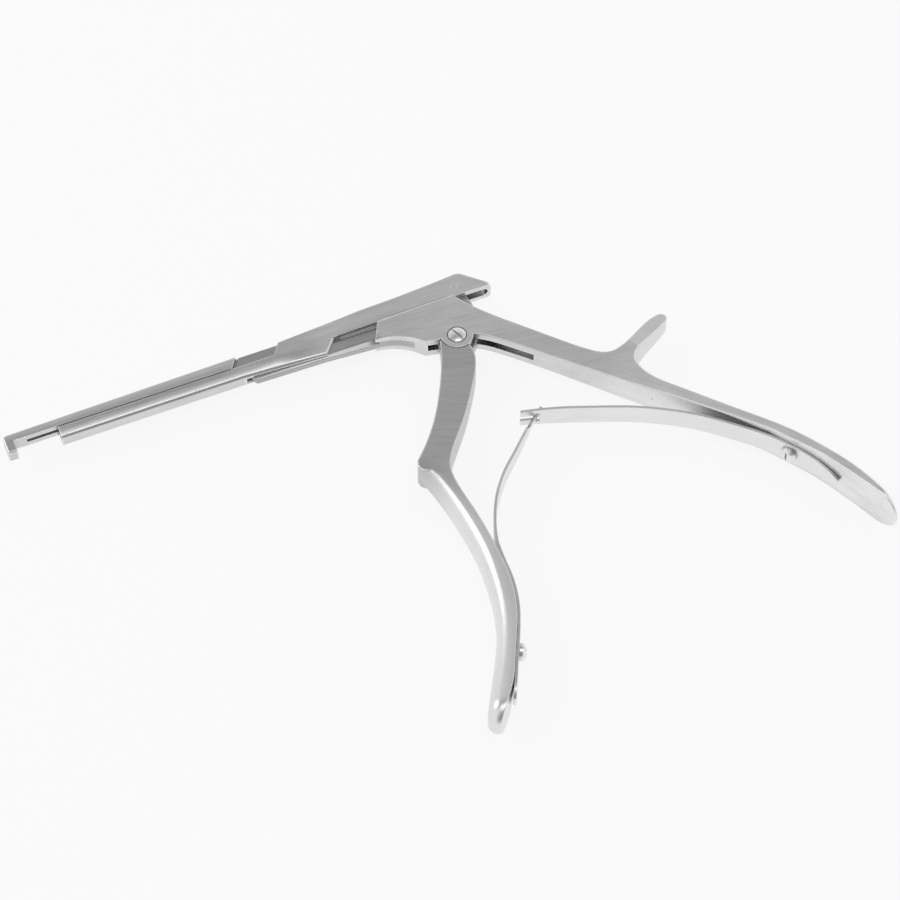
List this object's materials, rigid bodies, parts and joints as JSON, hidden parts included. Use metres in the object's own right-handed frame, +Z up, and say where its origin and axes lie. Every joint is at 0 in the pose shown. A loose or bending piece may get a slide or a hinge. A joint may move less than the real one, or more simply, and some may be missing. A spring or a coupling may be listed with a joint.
{
  "type": "bone rongeur",
  "caption": "Bone-biting hand punch with a long straight shaft, a hooked tip, a slider driven by the front handle, a thumb spur and crossed leaf springs that open the handles.",
  "frame": {"origin": "middle of the lower side of the box round the whole part, as it lies flat with the handles open", "axes": "+X along the shaft from the hooked tip to the handles, +Y from the handles to the shaft, +Z up, along the pivot screw's axis"},
  "size_m": [0.2244, 0.1482, 0.0136],
  "materials": {
    "satin_steel": "fine satin, brushed along the shaft and the handles",
    "screw_steel": "turned and polished",
    "spring_steel": "satin, brushed along the leaf"
  },
  "bodies": {
    "frame_body": {"frame": "satin_steel", "pivot_screw": "screw_steel", "rear_leaf_screw": "screw_steel"},
    "handle_body": {"front_handle": "satin_steel", "front_leaf_screw": "screw_steel"},
    "slider_body": {"slider": "satin_steel", "drive_pin": "screw_steel"},
    "rear_leaf_body": {"rear_leaf_spring": "spring_steel"},
    "front_leaf_body": {"front_leaf_spring": "spring_steel"}
  },
  "joints": [
    {"name": "handle_close", "type": "hinge", "parent": "frame_body", "child": "handle_body", "pos_m": [0.02235, 0.05206, 0.0068], "axis": [0, 0, 1], "range_deg": [0, 39.8], "stiffness_Nm_per_rad": 1.6, "springref_deg": -17.19},
    {"name": "slider_feed", "type": "slide", "parent": "frame_body", "child": "slider_body", "axis": [-1, 0, 0], "range_m": [0, 0.0129]},
    {"name": "rear_leaf_bend", "type": "hinge", "parent": "frame_body", "child": "rear_leaf_body", "pos_m": [0.08035, -0.00644, 0.0068], "axis": [0, 0, 1], "range_deg": [-15.1, 0], "deforming": ["rear_leaf_spring"]},
    {"name": "front_leaf_bend", "type": "hinge", "parent": "handle_body", "child": "front_leaf_body", "pos_m": [0.00435, -0.01694, 0.0068], "axis": [0, 0, 1], "range_deg": [0, 15.6], "deforming": ["front_leaf_spring"]}
  ],
  "couplings": [
    {"joint": "slider_feed", "follows": "handle_close", "m_per_rad": 0.018554},
    {"joint": "rear_leaf_bend", "follows": "handle_close", "ratio": -0.3767},
    {"joint": "front_leaf_bend", "follows": "handle_close", "ratio": 0.3892}
  ]
}
